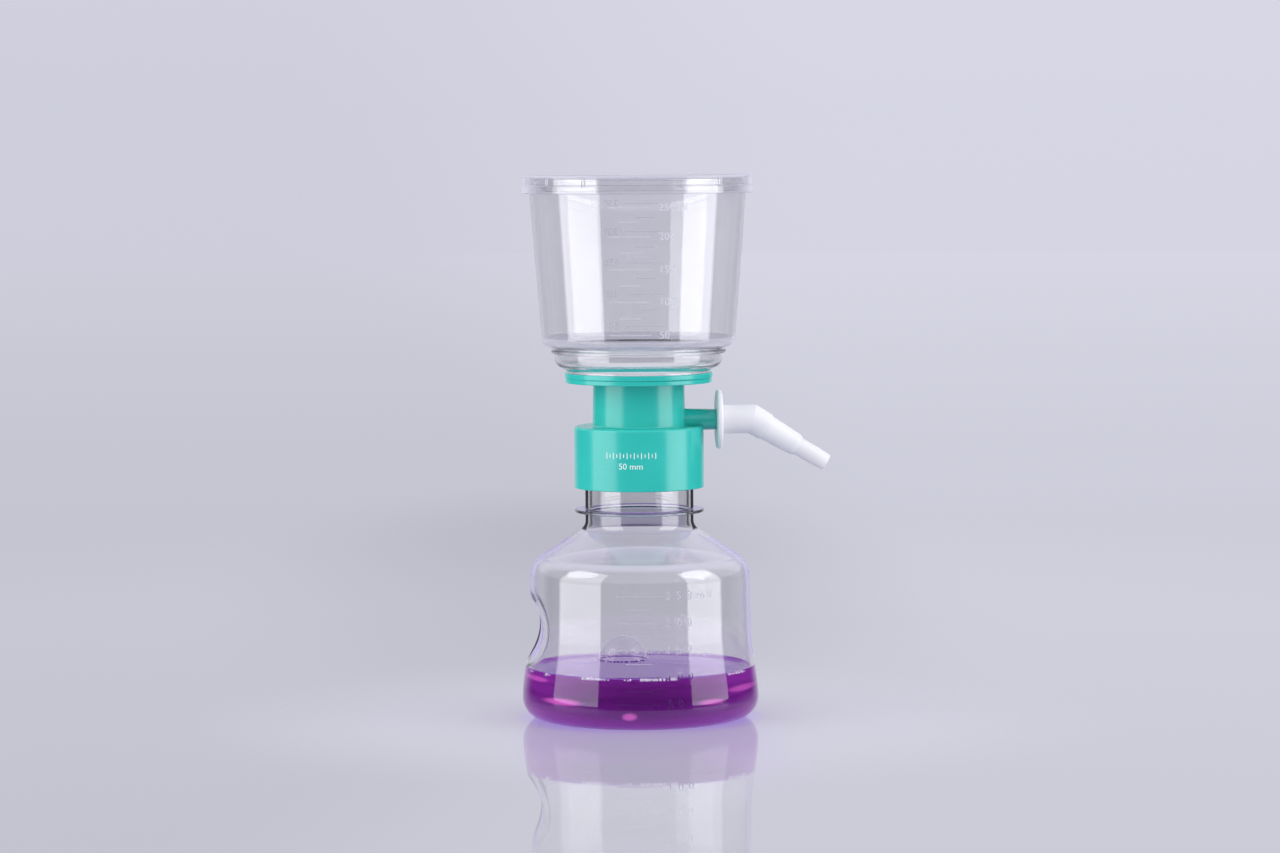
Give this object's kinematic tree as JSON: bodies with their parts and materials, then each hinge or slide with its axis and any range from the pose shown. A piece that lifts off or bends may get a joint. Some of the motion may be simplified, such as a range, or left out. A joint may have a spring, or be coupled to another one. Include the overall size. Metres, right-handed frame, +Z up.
{
  "type": "vacuum filtration unit",
  "caption": "Bottle-top vacuum filter: lidded clear funnel over a membrane, green screw-on adapter with a side port and hose elbow, clear bottle with violet filtrate.",
  "frame": {"origin": "on the bottle's axis, in the plane of the foot ring that the unit stands on", "axes": "+Z up along the common axis of bottle, adapter and funnel; +X along the vacuum port, towards the hose connector; the finger grip is on the -X side"},
  "size_m": [0.116, 0.0886, 0.2034],
  "materials": {
    "clear_bottle": "gloss",
    "clear_funnel": "gloss",
    "clear_lid": "gloss",
    "violet_liquid": "gloss",
    "green_plastic": "gloss",
    "white_plastic": "satin",
    "membrane_film": "matte",
    "seal_rubber": "satin",
    "cotton": "matte"
  },
  "bodies": {
    "bottle": {"bottle": "clear_bottle", "liquid": "violet_liquid"},
    "seal": {"neck_seal": "seal_rubber"},
    "filter_top": {"adapter": "green_plastic", "membrane_support": "green_plastic", "membrane": "membrane_film", "funnel": "clear_funnel", "port_plug": "cotton"},
    "lid": {"lid": "clear_lid"},
    "hose_connector": {"hose_connector": "white_plastic"}
  },
  "joints": [
    {"name": "top_rise", "type": "slide", "parent": "bottle", "child": "seal", "axis": [0, 0, 1], "range_m": [0, 0.008]},
    {"name": "top_unscrew", "type": "hinge", "parent": "seal", "child": "filter_top", "pos_m": [0, 0, 0.0865], "axis": [0, 0, 1], "range_deg": [0, 720]},
    {"name": "lid_lift", "type": "slide", "parent": "filter_top", "child": "lid", "axis": [0, 0, 1], "range_m": [0, 0.03]},
    {"name": "connector_swivel", "type": "hinge", "parent": "filter_top", "child": "hose_connector", "pos_m": [0.034, 0, 0.1116], "axis": [1, 0, 0], "continuous": true}
  ],
  "couplings": [
    {"joint": "top_rise", "follows": "top_unscrew", "m_per_rad": 0.0006366}
  ]
}
